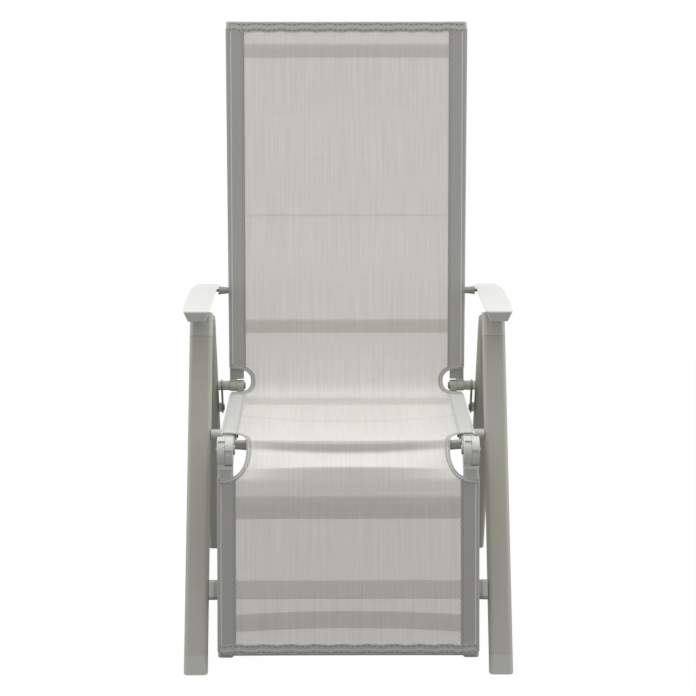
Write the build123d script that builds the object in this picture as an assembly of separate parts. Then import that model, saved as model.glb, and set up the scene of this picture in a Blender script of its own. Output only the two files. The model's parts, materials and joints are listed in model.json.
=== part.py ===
from build123d import *
import math
import os

os.makedirs("parts", exist_ok=True)

# A reclining garden armchair with a footrest, unfolded, backrest upright and footrest hanging.
# Millimetres. +X is the sitter's left, +Y runs to the rear, +Z is up and the floor is z = 0.
# Left and right in the names are those of a viewer who faces the chair.
# The side view is drawn with y = 0 near the top of the front legs. Every solid then moves
# by -CENTRE_Y, so that the origin lies on the floor in the middle of the outer box.

QUARTER_TURN = 90.0

# Fits
SEAT_GAP = 0.1
BOLT_GAP = 0.05
HINGE_GAP = 0.4
FABRIC_GAP = 0.4
CUT_PAST = 1.0

# Tubes
RAIL_WIDTH = 28.0
RAIL_DEPTH = 16.0
RAIL_CORNER = 6.5
ROUNDEST_SHARE = 0.98
FRONT_LEG_WIDTH = 43.0
FRONT_LEG_DEPTH = 22.0
REAR_LEG_WIDTH = 36.0
REAR_LEG_DEPTH = 20.0
LEG_CORNER = 8.5
TUBE_WALL = 1.6
BAR_DEPTH = 13.0
BAR_CORNER = 5.5
LEG_BAR_TALL = 34.0
LEG_BAR_DEPTH = 16.0
LEG_BAR_CORNER = 7.0

# Widths
RAIL_OUTER = 235.0
RAIL_FLARE = 3.0
LEG_GAP = 19.0
REAR_LEG_INSET = 4.5

# Seat
KNUCKLE_Y = -207.0
KNUCKLE_Z = 393.0
SEAT_DROP_ANGLE = 1.9
SEAT_FRONT_BAR = 20.0
SEAT_FRONT_BAR_TALL = 18.0
SEAT_FRONT_BAR_DROP = 2.7
SEAT_BAR_TALL = 20.0
SEAT_BAR_BOW = 9.0
SEAT_BAR_DEEP = 12.0
SEAT_REAR_BAR = 405.0
SEAT_RAIL_END = 456.0

# Rear hinge
HINGE_Y = 238.5
HINGE_RISE = 24.0
HINGE_RADIUS = 11.0
COLLAR_RADIUS = 9.5
PLATE_SPACER = 5.7
PLATE_THICK = 2.5
PLATE_WIDTH = 24.0
PLATE_BELOW = 56.0
BOLT_RADIUS = 4.0
HEAD_RADIUS = 7.0
HEAD_HEIGHT = 3.2
HEAD_ROUND_SHARE = 0.6

# Backrest
BACK_LEAN_ANGLE = 7.3
BACK_LENGTH = 724.5
BACK_CAP_START = 14.0
BACK_RAIL_START = 36.0
BACK_BAR_LOW = 120.0
BACK_BAR_TOP = 57.0
BACK_BAR_TALL = 28.0
TOP_CAP_LENGTH = 13.0
RECLINE_ANGLE = 40.0
RECLINE_STEPS = 8

# Backrest pin
PIN_RISE = 192.0
PIN_RADIUS = 8.0
PIN_END_RADIUS = 6.0
PIN_FLANGE = 8.6
PIN_FLANGE_LENGTH = 2.5
PIN_PLAY = 1.2
ARM_BOLT_RADIUS = 3.0
ARM_HEAD_RADIUS = 4.5

# Footrest
FOOT_SWING_ANGLE = 11.3
FOOT_LENGTH = 372.5
KNUCKLE_RADIUS = 26.0
KNUCKLE_NECK = 15.0
POCKET_TALL = 10.4
POCKET_DEPTH = 3.5
POCKET_RIM = 1.8
SEAT_POCKET_ANGLE = 7.0
FOOT_POCKET_ANGLE = 48.0
FOOT_RING_START = 33.0
FOOT_RAIL_START = 47.0
FOOT_BAR_HIGH = 107.0
FOOT_BAR_LOW = 312.0
FOOT_BAR_TALL = 31.0
FOOT_BAR_BOW = 7.5
FOOT_CAP_LENGTH = 10.0
FOOT_RAISE_ANGLE = 77.0

# Legs
FRONT_FOOT_Y = -284.5
FRONT_LEAN_ANGLE = 27.8
FRONT_SEAM = 625.5
REAR_FOOT_Y = 418.0
REAR_SEAM = 595.0
REAR_CAP_LENGTH = 18.0
CAP_GROOVE = 0.9
FOOT_CAP = 30.0
PLUG_LENGTH = 24.0
FRONT_BAR_ALONG = 149.5
FRONT_COLLAR_LENGTH = 9.0
FRONT_COLLAR_GROW = 2.2
REAR_BAR_ALONG = 127.0
REAR_BAR_TALL = 30.0
BRACKET_WIDTH = 20.0
BRACKET_TALL = 24.0
BRACKET_DROP = 6.0

# Armrests
ARM_OVER_PIN = 10.2
ARM_PIN_ALONG = 384.7
ARM_DROP_ANGLE = 4.2
ARM_DEPTH = 20.0
ARM_WALL = 3.0
ARM_TAPER_ANGLE = 22.0
ARM_EDGE = 3.0
ARM_INNER_INSET = 2.6
ARM_INNER_SPREAD = 6.0
ARM_REAR_PAST = 21.0
ARM_WIDTH_NOSE = 47.9
ARM_WIDTH_LEG = 51.2
ARM_WIDTH_MIDDLE = 51.6
ARM_WIDTH_PIN = 50.6
ARM_WIDTH_REAR = 42.6
ARM_LEG_SHARE = 0.288
ARM_MIDDLE_SHARE = 0.567
ARM_PIN_SHARE = 0.837
ARM_BOSS_RADIUS = 7.0
PEG_RADIUS = 4.0
PEG_LENGTH = 21.0
PEG_DEPTH = 13.0
PEG_PLAY = 0.6
TONGUE_WIDTH = 12.0
RACK_WIDTH = 6.0
RACK_END = 13.0
NOTCH_RADIUS = 5.0
NOTCH_SINK = 2.0
ARM_PLAY = 3.5

# Fabric
FABRIC = 1.6
SLING_EDGE = 1.0
SLING_NECK = 52.0
SEAT_SLING_FRONT = 44.0
SEAT_SLING_REAR = 405.0
SEAT_SLING_NECK_FRONT = 14.0
SEAT_SLING_NECK_REAR = 428.0
BACK_SLING_START = 46.0
BACK_SLING_NECK = 24.0
FOOT_SLING_START = 50.0
FOOT_SLING_NECK = 16.0
SLING_HEM = 4.0


class Run:
    """A straight run in the side view: its start, its direction and the normal to its left."""

    def __init__(self, y, z, degrees):
        self.y, self.z, self.degrees = y, z, degrees
        self.cos = math.cos(math.radians(degrees))
        self.sin = math.sin(math.radians(degrees))

    def at(self, along, off=0.0):
        """The point this far along the run and this far to its left."""
        return (self.y + along * self.cos - off * self.sin, self.z + along * self.sin + off * self.cos)

    def along(self, y, z):
        """How far along the run a point lies."""
        return (y - self.y) * self.cos + (z - self.z) * self.sin

    def off(self, y, z):
        """How far to the left of the run a point lies."""
        return (z - self.z) * self.cos - (y - self.y) * self.sin

    def reach(self, other, off=0.0):
        """How far along this run it comes to lie this far to the left of the other run."""
        start = other.off(*self.at(0.0))
        return (off - start) / (other.off(*self.at(1.0)) - start)


# The seat's left is its top, the back's and the legs' left is their front, the foot's right is its front.
SEAT = Run(KNUCKLE_Y, KNUCKLE_Z, -SEAT_DROP_ANGLE)
FOOT = Run(KNUCKLE_Y, KNUCKLE_Z, -QUARTER_TURN - FOOT_SWING_ANGLE)
HINGE_Z = SEAT.at((HINGE_Y - KNUCKLE_Y) / SEAT.cos)[1] + HINGE_RISE
BACK = Run(HINGE_Y, HINGE_Z, QUARTER_TURN - BACK_LEAN_ANGLE)
FRONT = Run(FRONT_FOOT_Y, 0.0, QUARTER_TURN - FRONT_LEAN_ANGLE)
REAR_LEAN_ANGLE = math.degrees(math.atan2(REAR_FOOT_Y - HINGE_Y, HINGE_Z))
REAR = Run(REAR_FOOT_Y, 0.0, QUARTER_TURN + REAR_LEAN_ANGLE)
PIN_Y, PIN_Z = BACK.at(PIN_RISE)
ARM = Run(*Run(PIN_Y, PIN_Z, -ARM_DROP_ANGLE).at(-ARM_PIN_ALONG, ARM_OVER_PIN), -ARM_DROP_ANGLE)

# The seat's leg bolt sits where the seat rail crosses the front leg's centre line.
SEAT_LEG_PIVOT = SEAT.reach(FRONT)

# The armrest ends a little behind the pin that it turns on.
ARM_LENGTH = ARM_PIN_ALONG + ARM_REAR_PAST
BACK_BAR_HIGH = BACK_LENGTH - BACK_BAR_TOP
REAR_LEG_TOP = REAR_SEAM + REAR_CAP_LENGTH

# The peg sits on the front leg's centre line, PEG_DEPTH below the armrest's top.
PEG_Y, PEG_Z = FRONT.at(FRONT.reach(ARM, -PEG_DEPTH))
SLIDE = Run(PEG_Y, PEG_Z, math.degrees(math.atan2(PIN_Z - PEG_Z, PIN_Y - PEG_Y)))

LEG_INNER = RAIL_OUTER + LEG_GAP
RAIL_X = RAIL_OUTER - RAIL_WIDTH / 2
RAIL_INNER = RAIL_OUTER - RAIL_WIDTH
FRONT_LEG_X = LEG_INNER + FRONT_LEG_WIDTH / 2
REAR_LEG_X = LEG_INNER + REAR_LEG_INSET + REAR_LEG_WIDTH / 2
ARM_INNER_FRONT = LEG_INNER - ARM_INNER_INSET
ARM_INNER_REAR = ARM_INNER_FRONT + ARM_INNER_SPREAD
SLING_X = RAIL_OUTER - SLING_EDGE
NECK_X = RAIL_OUTER - SLING_NECK

# The outer box: the front leg's and the rear leg's outer edges on the floor.
FRONT_EDGE_Y = FRONT_FOOT_Y - FRONT_LEG_DEPTH / 2 / FRONT.sin
REAR_EDGE_Y = REAR_FOOT_Y + REAR_LEG_DEPTH / 2 / REAR.sin
CENTRE_Y = (FRONT_EDGE_Y + REAR_EDGE_Y) / 2


def pin_at(degrees):
    """Where the backrest pin is with the backrest reclined by this much."""
    return Run(HINGE_Y, HINGE_Z, QUARTER_TURN - BACK_LEAN_ANGLE - degrees).at(PIN_RISE)


def slide_at(degrees):
    """How far the peg has moved along the armrest's rack at this recline."""
    y, z = pin_at(degrees)
    return math.dist((y, z), (PEG_Y, PEG_Z)) - math.dist((PIN_Y, PIN_Z), (PEG_Y, PEG_Z))


def arm_tilt(degrees):
    """How far the armrest has tilted, nose up, at this recline."""
    y, z = pin_at(degrees)
    start = math.atan2(PEG_Z - PIN_Z, PIN_Y - PEG_Y)
    return math.degrees(math.atan2(PEG_Z - z, y - PEG_Y) - start)


ARM_RATIO = (arm_tilt(RECLINE_ANGLE) - RECLINE_ANGLE) / RECLINE_ANGLE


def save(name, solids):
    """Moves the solids of one node to the final frame and writes them as one file."""
    flat = []
    for solid in solids if isinstance(solids, list) else [solids]:
        flat += list(solid.solids())
    moved = [Pos(0, -CENTRE_Y, 0) * solid for solid in flat]
    node = moved[0] if len(moved) == 1 else Compound(children=moved)
    export_step(node, f"parts/{name}.step")


def both(solid):
    """The solid and its mirror image on the other side of the chair."""
    return [solid, mirror(solid, about=Plane.YZ)]


def save_sides(name, solid):
    """Writes the solid as the right node and its mirror image as the left node."""
    right, left = both(solid)
    save(f"{name}_right", right)
    save(f"{name}_left", left)


def oval(width, depth, corner):
    """A flat-oval section."""
    return RectangleRounded(width, depth, min(corner, min(width, depth) / 2 * ROUNDEST_SHARE))


def bar(start, end, width, depth, corner, wall=0.0, across=(1, 0, 0)):
    """A straight flat-oval bar, hollow where a wall is given, its width along the across direction."""
    start, end, across = Vector(*start), Vector(*end), Vector(*across)
    run = end - start
    ahead = run.normalized()
    side = across - ahead * across.dot(ahead)
    plane = Plane(origin=start, x_dir=side, z_dir=ahead)
    solid = extrude(plane * oval(width, depth, corner), run.length)
    if wall:
        inner = oval(width - 2 * wall, depth - 2 * wall, corner - wall)
        solid -= extrude(plane * inner, run.length)
    return solid


def run_bar(run, low, high, x, width, depth, corner, wall=0.0, x_high=None):
    """A bar that follows a run of the side view at this x, or from x to x_high."""
    start = (x, *run.at(low))
    end = (x if x_high is None else x_high, *run.at(high))
    return bar(start, end, width, depth, corner, wall)


def cross_bar(run, along, off, half, tall, deep, corner, wall=TUBE_WALL):
    """A straight bar from side to side, centred at a point of a run, its tall side along the run."""
    y, z = run.at(along, off)
    return bar((-half, y, z), (half, y, z), tall, deep, corner, wall, across=(0, run.cos, run.sin))


def bowed_bar(run, along, off, half, bow, tall, deep, corner, wall=TUBE_WALL):
    """The same bar, bowed so that its middle lies this far along the run from its ends."""
    past = half + tall
    drop = bow * (past / half) ** 2 - bow
    ends, middle = run.at(along - drop, off), run.at(along + bow, off)
    path = ThreePointArc((-past, *ends), (0, *middle), (past, *ends))
    plane = Plane(origin=path @ 0, x_dir=(0, run.cos, run.sin), z_dir=path % 0)
    ahead = path % 0
    side = Vector(0, run.cos, run.sin)
    side = side - ahead * side.dot(ahead)
    plane = Plane(origin=path @ 0, x_dir=side, z_dir=ahead)
    solid = sweep(plane * oval(tall, deep, corner), path=path)
    if wall:
        solid -= sweep(plane * oval(tall - 2 * wall, deep - 2 * wall, corner - wall), path=path)
    room = Pos(0, *run.at(along, off)) * Box(2 * half, 8 * tall + 8 * abs(bow), 8 * tall + 8 * abs(bow))
    return solid & room


def side_slab(face, x_low, x_high):
    """A face of the side view, as thick as from x_low to x_high."""
    return extrude(Plane.YZ.offset(x_low) * face, x_high - x_low)


def shape(*points):
    """A face of the side view from its corners."""
    return make_face(Polyline(*points, close=True))


def disc(y, z, radius, x_low, x_high):
    """A round solid whose axis runs along X."""
    return side_slab(Pos(y, z) * Circle(radius), x_low, x_high)


def cone(y, z, low_radius, high_radius, x_low, x_high):
    """A round solid along X whose radius changes from one end to the other."""
    low = Plane.YZ.offset(x_low) * (Pos(y, z) * Circle(low_radius))
    high = Plane.YZ.offset(x_high) * (Pos(y, z) * Circle(high_radius))
    return loft([low, high])


def dome(y, z, radius, height, x_face, outward):
    """A bolt head with a rounded edge that stands on a face at x_face."""
    low, high = sorted((x_face, x_face + outward * height))
    head = disc(y, z, radius, low, high)
    rim = head.edges().filter_by(GeomType.CIRCLE).sort_by(Axis.X)[-1 if outward > 0 else 0]
    return fillet(rim, height * HEAD_ROUND_SHARE)


def run_box(run, low, high, below, above, x_low, x_high):
    """A box that lies along a run of the side view."""
    corners = [run.at(low, below), run.at(high, below), run.at(high, above), run.at(low, above)]
    return side_slab(shape(*corners), x_low, x_high)


def sling(run, side, start, end, neck_start, neck_end):
    """The flat cloth of one section, with narrower necks at its ends where the hinges are."""
    low = side * (RAIL_DEPTH / 2 + FABRIC_GAP)
    high = side * (RAIL_DEPTH / 2 + FABRIC_GAP + FABRIC)
    cloth = run_box(run, start, end, min(low, high), max(low, high), -SLING_X, SLING_X)
    if neck_start < start:
        cloth += run_box(run, neck_start, start, min(low, high), max(low, high), -NECK_X, NECK_X)
    if neck_end > end:
        cloth += run_box(run, end, neck_end, min(low, high), max(low, high), -NECK_X, NECK_X)
    return cloth


# Bolt holes shared by the pieces they pass through
leg_pivot_y, leg_pivot_z = SEAT.at(SEAT_LEG_PIVOT)
leg_pivot_hole = disc(leg_pivot_y, leg_pivot_z, BOLT_RADIUS + BOLT_GAP, 0, FRONT_LEG_X)
hinge_hole = disc(HINGE_Y, HINGE_Z, BOLT_RADIUS + BOLT_GAP, 0, 2 * LEG_INNER)
pin_hole = disc(PIN_Y, PIN_Z, ARM_BOLT_RADIUS + BOLT_GAP, 0, 2 * LEG_INNER)
plate_low_y, plate_low_z = REAR.at(REAR.along(HINGE_Y, HINGE_Z) - PLATE_BELOW)
plate_low_hole = disc(plate_low_y, plate_low_z, BOLT_RADIUS + BOLT_GAP, 0, 2 * LEG_INNER)

# Front legs
floor_cut = Pos(0, 0, -LEG_INNER) * Box(4 * LEG_INNER, 8 * LEG_INNER, 2 * LEG_INNER)
front_leg = run_bar(
    FRONT, FOOT_CAP, FRONT_SEAM, FRONT_LEG_X, FRONT_LEG_WIDTH, FRONT_LEG_DEPTH, LEG_CORNER, TUBE_WALL
)
save_sides("front_leg", front_leg - leg_pivot_hole)


def leg_plug(run, low, high, x, width, depth):
    """The part of a cap that sits inside its tube."""
    slack = 2 * (TUBE_WALL + SEAT_GAP)
    return run_bar(run, low, high, x, width - slack, depth - slack, LEG_CORNER - TUBE_WALL)


def foot_cap(run, x, width, depth):
    """The plastic foot of a leg, cut flat on the floor, with its plug in the tube."""
    foot = run_bar(run, -FOOT_CAP, FOOT_CAP - SEAT_GAP, x, width, depth, LEG_CORNER) - floor_cut
    return foot + leg_plug(run, FOOT_CAP - SEAT_GAP, FOOT_CAP + PLUG_LENGTH, x, width, depth)


save("front_leg_feet", both(foot_cap(FRONT, FRONT_LEG_X, FRONT_LEG_WIDTH, FRONT_LEG_DEPTH)))
save("rear_leg_feet", both(foot_cap(REAR, REAR_LEG_X, REAR_LEG_WIDTH, REAR_LEG_DEPTH)))

# Front-leg caps: a plug, a shoulder under the armrest and a tongue that carries the peg
cap_low = FRONT_SEAM + SEAT_GAP
cap_shoulder = cap_low + CAP_GROOVE
cap_high = cap_low + 3 * FRONT_LEG_DEPTH
cap = run_bar(FRONT, cap_shoulder, cap_high, FRONT_LEG_X, FRONT_LEG_WIDTH, FRONT_LEG_DEPTH, LEG_CORNER)
over = run_box(ARM, -ARM_LENGTH, 2 * ARM_LENGTH, -(ARM_DEPTH + ARM_PLAY), ARM_LENGTH, 0, 2 * LEG_INNER)
cap = cap - over
rim = cap.faces().sort_by(Axis.Z)[-1].edges()
cap = fillet(rim, ARM_EDGE)
groove_width = FRONT_LEG_WIDTH - TUBE_WALL
groove_depth = FRONT_LEG_DEPTH - TUBE_WALL
cap += run_bar(FRONT, cap_low, cap_shoulder, FRONT_LEG_X, groove_width, groove_depth, LEG_CORNER)
cap += leg_plug(FRONT, FRONT_SEAM - PLUG_LENGTH, cap_low, FRONT_LEG_X, FRONT_LEG_WIDTH, FRONT_LEG_DEPTH)
peg_along = FRONT.along(PEG_Y, PEG_Z)
tongue_x = FRONT_LEG_X - TONGUE_WIDTH / 2
tongue_half = PEG_RADIUS + ARM_WALL
tongue = run_box(FRONT, cap_low, peg_along, -tongue_half, tongue_half, tongue_x, tongue_x + TONGUE_WIDTH)
tongue += disc(PEG_Y, PEG_Z, tongue_half, tongue_x, tongue_x + TONGUE_WIDTH)
cap += tongue
peg_hole = disc(PEG_Y, PEG_Z, PEG_RADIUS + BOLT_GAP, 0, 2 * LEG_INNER)
save("front_leg_caps", both(cap - peg_hole))
peg = disc(PEG_Y, PEG_Z, PEG_RADIUS, FRONT_LEG_X - PEG_LENGTH / 2, FRONT_LEG_X + PEG_LENGTH / 2)
save("armrest_pegs", both(peg))

# Front crossbar and its collars
front_half = LEG_INNER - SEAT_GAP
bar_half = front_half - FRONT_COLLAR_LENGTH - SEAT_GAP
save(
    "front_crossbar",
    cross_bar(FRONT, FRONT_BAR_ALONG, 0, bar_half, LEG_BAR_TALL, LEG_BAR_DEPTH, LEG_BAR_CORNER),
)
collar_tall = LEG_BAR_TALL + FRONT_COLLAR_GROW
collar_deep = LEG_BAR_DEPTH + FRONT_COLLAR_GROW
across_front = (0, FRONT.cos, FRONT.sin)
collar = bar(
    (bar_half + SEAT_GAP, *FRONT.at(FRONT_BAR_ALONG)),
    (front_half, *FRONT.at(FRONT_BAR_ALONG)),
    collar_tall,
    collar_deep,
    LEG_BAR_CORNER,
    across=across_front,
)
save("front_crossbar_collars", both(collar))

# Rear legs, crossbar and caps
rear_leg = run_bar(
    REAR, FOOT_CAP, REAR_SEAM, REAR_LEG_X, REAR_LEG_WIDTH, REAR_LEG_DEPTH, LEG_CORNER, TUBE_WALL
)
save_sides("rear_leg", rear_leg - hinge_hole - plate_low_hole)
rear_cap = run_bar(
    REAR, REAR_SEAM + SEAT_GAP, REAR_LEG_TOP, REAR_LEG_X, REAR_LEG_WIDTH, REAR_LEG_DEPTH, LEG_CORNER
)
top_rim = rear_cap.faces().sort_by(Axis.Z)[-1].edges()
rear_cap = fillet(top_rim, ARM_EDGE * 2)
rear_plug_end = REAR_SEAM + SEAT_GAP
rear_plug_start = REAR_SEAM - PLUG_LENGTH
rear_cap += leg_plug(REAR, rear_plug_start, rear_plug_end, REAR_LEG_X, REAR_LEG_WIDTH, REAR_LEG_DEPTH)
save("rear_leg_caps", both(rear_cap))
rear_half = REAR_LEG_X - REAR_LEG_WIDTH / 2 - SEAT_GAP
save("rear_crossbar", cross_bar(REAR, REAR_BAR_ALONG, 0, rear_half, REAR_BAR_TALL, BAR_DEPTH, BAR_CORNER))

# Brackets that join each front leg to its rear leg under the armrest
front_face = -FRONT_LEG_DEPTH / 2 - SEAT_GAP
rear_face = REAR_LEG_DEPTH / 2 + SEAT_GAP
bracket_top_front = FRONT_SEAM - BRACKET_DROP
bracket_top_rear = REAR_SEAM - BRACKET_DROP
bracket = side_slab(
    shape(
        FRONT.at(bracket_top_front, front_face),
        REAR.at(bracket_top_rear, rear_face),
        REAR.at(bracket_top_rear - BRACKET_TALL, rear_face),
        FRONT.at(bracket_top_front - BRACKET_TALL, front_face),
    ),
    FRONT_LEG_X - BRACKET_WIDTH / 2,
    FRONT_LEG_X + BRACKET_WIDTH / 2,
)
save("leg_brackets", both(bracket))


def bracket_bolt(run, along, face, outward):
    """A dome head on a leg's far face, in line with the bracket."""
    y, z = run.at(along, face)
    away = (0, -outward * run.sin, outward * run.cos)
    plane = Plane(origin=(FRONT_LEG_X, y, z), x_dir=(1, 0, 0), z_dir=away)
    return extrude(plane * Circle(HEAD_RADIUS), HEAD_HEIGHT)


rear_bolt = bracket_bolt(REAR, bracket_top_rear - BRACKET_TALL / 2, -REAR_LEG_DEPTH / 2 - SEAT_GAP, -1)
save("leg_bracket_bolts", both(rear_bolt))

# Seat rails
seat_rail_start = KNUCKLE_RADIUS + KNUCKLE_NECK
seat_rail = run_bar(
    SEAT, seat_rail_start, SEAT_RAIL_END, RAIL_X, RAIL_WIDTH, RAIL_DEPTH, RAIL_CORNER, TUBE_WALL
)
save_sides("seat_rail", seat_rail - leg_pivot_hole)
plug_slack = 2 * (TUBE_WALL + SEAT_GAP)
plug_width = RAIL_WIDTH - plug_slack
plug_depth = RAIL_DEPTH - plug_slack
plug_corner = RAIL_CORNER - TUBE_WALL


def rail_plug(run, low, high, x=RAIL_X, x_high=None):
    """The part of a cap or casting that sits inside a rail."""
    return run_bar(run, low, high, x, plug_width, plug_depth, plug_corner, x_high=x_high)


end_cap_start = SEAT_RAIL_END + SEAT_GAP
end_cap_end = SEAT_RAIL_END + FOOT_CAP_LENGTH / 2
end_cap = run_bar(SEAT, end_cap_start, end_cap_end, RAIL_X, RAIL_WIDTH, RAIL_DEPTH, RAIL_CORNER)
end_cap += rail_plug(SEAT, SEAT_RAIL_END - PLUG_LENGTH, end_cap_start)
save("seat_rail_rear_caps", both(end_cap))
inner_half = RAIL_INNER - SEAT_GAP
down = Run(*SEAT.at(SEAT_FRONT_BAR + seat_rail_start, 0), -QUARTER_TURN - SEAT_DROP_ANGLE)
save(
    "seat_front_bar",
    bowed_bar(
        down, SEAT_FRONT_BAR_DROP, 0, inner_half, SEAT_BAR_BOW, SEAT_FRONT_BAR_TALL, SEAT_BAR_DEEP, BAR_CORNER
    ),
)
save(
    "seat_rear_bar",
    cross_bar(SEAT, SEAT_REAR_BAR, 0, inner_half, SEAT_BAR_TALL, SEAT_BAR_DEEP, BAR_CORNER),
)

# Rear hinge: the seat's lug and the back's tongue lie side by side on one bolt
hinge_middle = RAIL_X
hinge_along = SEAT.along(HINGE_Y, HINGE_Z)
lug_low = RAIL_DEPTH / 2 + SEAT_GAP
lug = run_box(
    SEAT, hinge_along - HINGE_RADIUS, hinge_along + HINGE_RADIUS, lug_low, HINGE_RISE,
    RAIL_INNER, hinge_middle - HINGE_GAP / 2,
)
lug += disc(HINGE_Y, HINGE_Z, HINGE_RADIUS, RAIL_INNER, hinge_middle - HINGE_GAP / 2)
save("seat_hinge_lugs", both(lug - hinge_hole))
tongue_low = hinge_middle + HINGE_GAP / 2
back_tongue = disc(HINGE_Y, HINGE_Z, HINGE_RADIUS, tongue_low, RAIL_OUTER)
back_tongue += run_box(
    BACK, 0, BACK_CAP_START - SEAT_GAP, -RAIL_DEPTH / 2, RAIL_DEPTH / 2, tongue_low, RAIL_OUTER
)
save("back_hinge_tongues", both(back_tongue - hinge_hole))
collar_start = RAIL_OUTER + HINGE_GAP + SEAT_GAP
leg_face = REAR_LEG_X - REAR_LEG_WIDTH / 2
plate_end = leg_face - PLATE_SPACER
plate_start = plate_end - PLATE_THICK
collar_end = plate_start - SEAT_GAP
hinge_collar = disc(HINGE_Y, HINGE_Z, COLLAR_RADIUS, collar_start, collar_end)
save("rear_hinge_collars", both(hinge_collar - hinge_hole))
plate_low = REAR.along(plate_low_y, plate_low_z)
plate_high = REAR.along(HINGE_Y, HINGE_Z)
plate_off = REAR.off(HINGE_Y, HINGE_Z)
plate = run_box(
    REAR, plate_low, plate_high, -PLATE_WIDTH / 2, PLATE_WIDTH / 2 + plate_off, plate_start, plate_end
)
plate += disc(HINGE_Y, HINGE_Z, PLATE_WIDTH / 2, plate_start, plate_end)
plate += disc(plate_low_y, plate_low_z, PLATE_WIDTH / 2, plate_start, plate_end)
save("rear_leg_plates", both(plate - hinge_hole - plate_low_hole))
spacer_low = plate_end + SEAT_GAP
spacer_high = leg_face - SEAT_GAP
upper_spacer = disc(HINGE_Y, HINGE_Z, COLLAR_RADIUS, spacer_low, spacer_high) - hinge_hole
lower_spacer = disc(plate_low_y, plate_low_z, COLLAR_RADIUS, spacer_low, spacer_high) - plate_low_hole
save("rear_plate_spacers", both(upper_spacer) + both(lower_spacer))
rear_outer = REAR_LEG_X + REAR_LEG_WIDTH / 2 + SEAT_GAP
hinge_bolt = disc(HINGE_Y, HINGE_Z, BOLT_RADIUS, RAIL_INNER - SEAT_GAP, rear_outer)
hinge_bolt += dome(HINGE_Y, HINGE_Z, HEAD_RADIUS, HEAD_HEIGHT, RAIL_INNER - SEAT_GAP, -1)
hinge_bolt += dome(HINGE_Y, HINGE_Z, HEAD_RADIUS, HEAD_HEIGHT, rear_outer, 1)
save("rear_hinge_bolts", both(hinge_bolt))
low_bolt = disc(plate_low_y, plate_low_z, BOLT_RADIUS, plate_start - SEAT_GAP, rear_outer)
low_bolt += dome(plate_low_y, plate_low_z, HEAD_RADIUS, PLATE_THICK, plate_start - SEAT_GAP, -1)
low_bolt += dome(plate_low_y, plate_low_z, HEAD_RADIUS, HEAD_HEIGHT, rear_outer, 1)
save("rear_plate_bolts", both(low_bolt))

# Seat to front leg: the bolt ends in a nut inside the leg
spacer = disc(leg_pivot_y, leg_pivot_z, COLLAR_RADIUS, RAIL_OUTER + SEAT_GAP, LEG_INNER - SEAT_GAP)
save("seat_leg_spacers", both(spacer - leg_pivot_hole))
nut_face = LEG_INNER + LEG_CORNER
leg_bolt = disc(leg_pivot_y, leg_pivot_z, BOLT_RADIUS, RAIL_INNER - SEAT_GAP, nut_face)
leg_bolt += dome(leg_pivot_y, leg_pivot_z, HEAD_RADIUS, HEAD_HEIGHT, nut_face, 1)
leg_bolt += dome(leg_pivot_y, leg_pivot_z, HEAD_RADIUS, HEAD_HEIGHT, RAIL_INNER - SEAT_GAP, -1)
save("seat_leg_bolts", both(leg_bolt))

# Front knuckles: the seat's half towards +X and the footrest's half towards -X on both sides
seat_pocket = Run(KNUCKLE_Y, KNUCKLE_Z, 2 * QUARTER_TURN - SEAT_POCKET_ANGLE)
foot_pocket = Run(KNUCKLE_Y, KNUCKLE_Z, 2 * QUARTER_TURN - FOOT_POCKET_ANGLE)
pocket_floor = KNUCKLE_RADIUS - POCKET_DEPTH
pocket_end = KNUCKLE_RADIUS + CUT_PAST
pocket_half = POCKET_TALL / 2
seat_halves = []
foot_halves = []
knuckle_bolts = []
neck_half = RAIL_DEPTH / 2
for x in (-RAIL_X, RAIL_X):
    hole = disc(KNUCKLE_Y, KNUCKLE_Z, BOLT_RADIUS + BOLT_GAP, x - RAIL_WIDTH, x + RAIL_WIDTH)
    right = (x + HINGE_GAP / 2, x + RAIL_WIDTH / 2)
    left = (x - RAIL_WIDTH / 2, x - HINGE_GAP / 2)
    half = disc(KNUCKLE_Y, KNUCKLE_Z, KNUCKLE_RADIUS, *right)
    pocket = (right[0] - CUT_PAST, right[1] - POCKET_RIM)
    half -= run_box(seat_pocket, pocket_floor, pocket_end, -pocket_half, pocket_half, *pocket)
    half += run_box(SEAT, 0, seat_rail_start - SEAT_GAP, -neck_half, neck_half, *right)
    collar_from = KNUCKLE_RADIUS + HINGE_GAP
    half += run_box(SEAT, collar_from, seat_rail_start - SEAT_GAP, -neck_half, neck_half, left[0], right[1])
    half += rail_plug(SEAT, seat_rail_start - SEAT_GAP, seat_rail_start + PLUG_LENGTH, x)
    seat_halves.append(half - hole)
    half = disc(KNUCKLE_Y, KNUCKLE_Z, KNUCKLE_RADIUS, *left)
    pocket = (left[0] + POCKET_RIM, left[1] + CUT_PAST)
    half -= run_box(foot_pocket, pocket_floor, pocket_end, -pocket_half, pocket_half, *pocket)
    half += run_box(FOOT, 0, FOOT_RING_START - SEAT_GAP, -neck_half, neck_half, *left)
    half += run_box(FOOT, collar_from, FOOT_RING_START - SEAT_GAP, -neck_half, neck_half, left[0], right[1])
    foot_halves.append(half - hole)
    bolt = disc(KNUCKLE_Y, KNUCKLE_Z, BOLT_RADIUS, left[0] - SEAT_GAP, right[1] + SEAT_GAP)
    bolt += dome(KNUCKLE_Y, KNUCKLE_Z, HEAD_RADIUS, HEAD_HEIGHT, left[0] - SEAT_GAP, -1)
    bolt += dome(KNUCKLE_Y, KNUCKLE_Z, HEAD_RADIUS, HEAD_HEIGHT, right[1] + SEAT_GAP, 1)
    knuckle_bolts.append(bolt)
save("seat_knuckles", seat_halves)
save("footrest_knuckles", foot_halves)
save("knuckle_bolts", knuckle_bolts)
save("seat_sling", sling(
    SEAT, 1, SEAT_SLING_FRONT, SEAT_SLING_REAR, SEAT_SLING_NECK_FRONT, SEAT_SLING_NECK_REAR
))

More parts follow.
